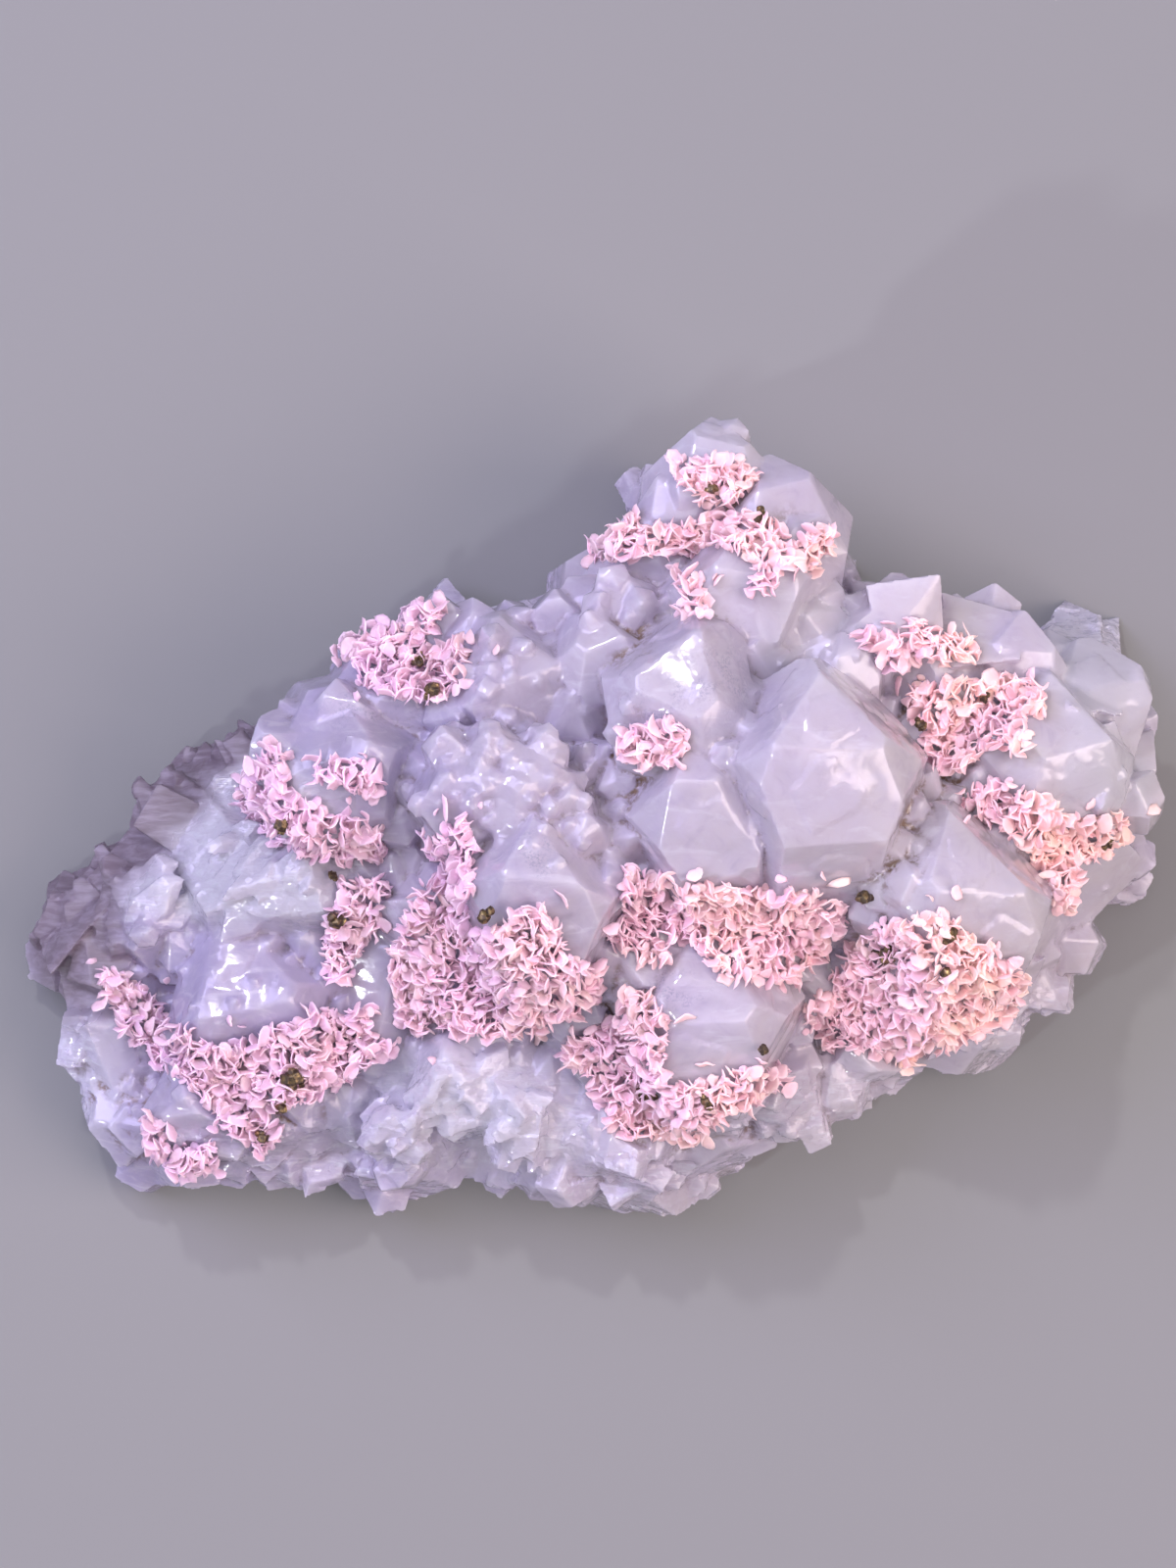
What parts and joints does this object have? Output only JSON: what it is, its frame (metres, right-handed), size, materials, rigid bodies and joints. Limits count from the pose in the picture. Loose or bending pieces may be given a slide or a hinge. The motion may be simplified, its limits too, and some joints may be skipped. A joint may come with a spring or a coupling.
{
  "type": "rhodochrosite and quartz mineral specimen",
  "caption": "Hand-sized cluster of milky quartz points with bladed pink rhodochrosite crusts and brassy pyrite grains, cut flat at the back to lie on a shelf.",
  "frame": {"origin": "middle of the specimen's outline, on its flat cut back", "axes": "+X along the long side, +Y towards the tall crest, +Z out of the back towards the crystal tips"},
  "size_m": [0.0942, 0.0664, 0.0354],
  "materials": {
    "milky_quartz": "translucent, glassy on the faces and frosted inside",
    "pink_rhodochrosite": "pale pink, satin blades",
    "brassy_pyrite": "dark brassy, metallic"
  },
  "bodies": {
    "root": {"pyrite_centre": "brassy_pyrite", "pyrite_collar_a": "brassy_pyrite", "pyrite_collar_b": "brassy_pyrite", "pyrite_collar_c": "brassy_pyrite", "pyrite_column_lower": "brassy_pyrite", "pyrite_column_upper": "brassy_pyrite", "pyrite_crest": "brassy_pyrite", "pyrite_crest_band": "brassy_pyrite", "pyrite_east_a": "brassy_pyrite", "pyrite_east_b": "brassy_pyrite", "pyrite_east_ledge": "brassy_pyrite", "pyrite_lower_left_a": "brassy_pyrite", "pyrite_lower_left_b": "brassy_pyrite", "pyrite_lower_left_c": "brassy_pyrite", "pyrite_middle": "brassy_pyrite", "pyrite_north_a": "brassy_pyrite", "pyrite_north_b": "brassy_pyrite", "pyrite_south_east_a": "brassy_pyrite", "pyrite_south_east_b": "brassy_pyrite", "pyrite_south_east_c": "brassy_pyrite", "pyrite_west_ledge": "brassy_pyrite", "quartz_cluster": "milky_quartz", "rhodochrosite_centre_band": "pink_rhodochrosite", "rhodochrosite_centre_tuft": "pink_rhodochrosite", "rhodochrosite_corner": "pink_rhodochrosite", "rhodochrosite_crest_band": "pink_rhodochrosite", "rhodochrosite_crest_drip": "pink_rhodochrosite", "rhodochrosite_crest_tuft": "pink_rhodochrosite", "rhodochrosite_east_ledge": "pink_rhodochrosite", "rhodochrosite_east_spray": "pink_rhodochrosite", "rhodochrosite_east_wedge": "pink_rhodochrosite", "rhodochrosite_lower_left": "pink_rhodochrosite", "rhodochrosite_middle_band": "pink_rhodochrosite", "rhodochrosite_north": "pink_rhodochrosite", "rhodochrosite_south_collar": "pink_rhodochrosite", "rhodochrosite_southeast_band": "pink_rhodochrosite", "rhodochrosite_west_column": "pink_rhodochrosite", "rhodochrosite_west_ledge": "pink_rhodochrosite", "rhodochrosite_west_rim": "pink_rhodochrosite"}
  },
  "joints": []
}
